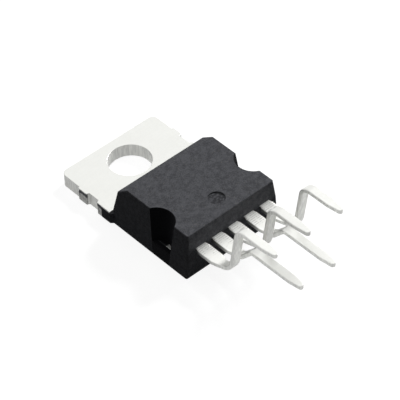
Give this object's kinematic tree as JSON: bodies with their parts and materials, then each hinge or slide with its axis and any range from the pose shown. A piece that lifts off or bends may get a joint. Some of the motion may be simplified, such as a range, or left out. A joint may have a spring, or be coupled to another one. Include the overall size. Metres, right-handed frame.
{
  "type": "voltage regulator",
  "caption": "Power voltage regulator in a TO-220 style package: a metal tab with a mounting hole, a black moulded body and leads bent into two staggered rows.",
  "frame": {"origin": "on the mounting face, on the axis of the mounting hole", "axes": "+Z out of the marked face along the hole's axis, +Y towards the tab's end, leads along -Y"},
  "size_m": [0.0104, 0.0253, 0.0082],
  "materials": {
    "plated_heat_sink": "satin tin plating over copper",
    "plated_lead": "satin tin plating over copper",
    "black_epoxy": "finely pitted, matte",
    "silicon": "polished",
    "solder": "satin",
    "aluminium_wire": "drawn wire"
  },
  "bodies": {
    "root": {"heat_sink_with_ground_lead": "plated_heat_sink", "input_lead": "plated_lead", "limit_lead": "plated_lead", "reference_lead": "plated_lead", "output_lead": "plated_lead", "die_solder": "solder", "silicon_die": "silicon", "input_bond_wire": "aluminium_wire", "limit_bond_wire": "aluminium_wire", "reference_bond_wire": "aluminium_wire", "output_bond_wire": "aluminium_wire", "moulded_body": "black_epoxy"}
  },
  "joints": []
}
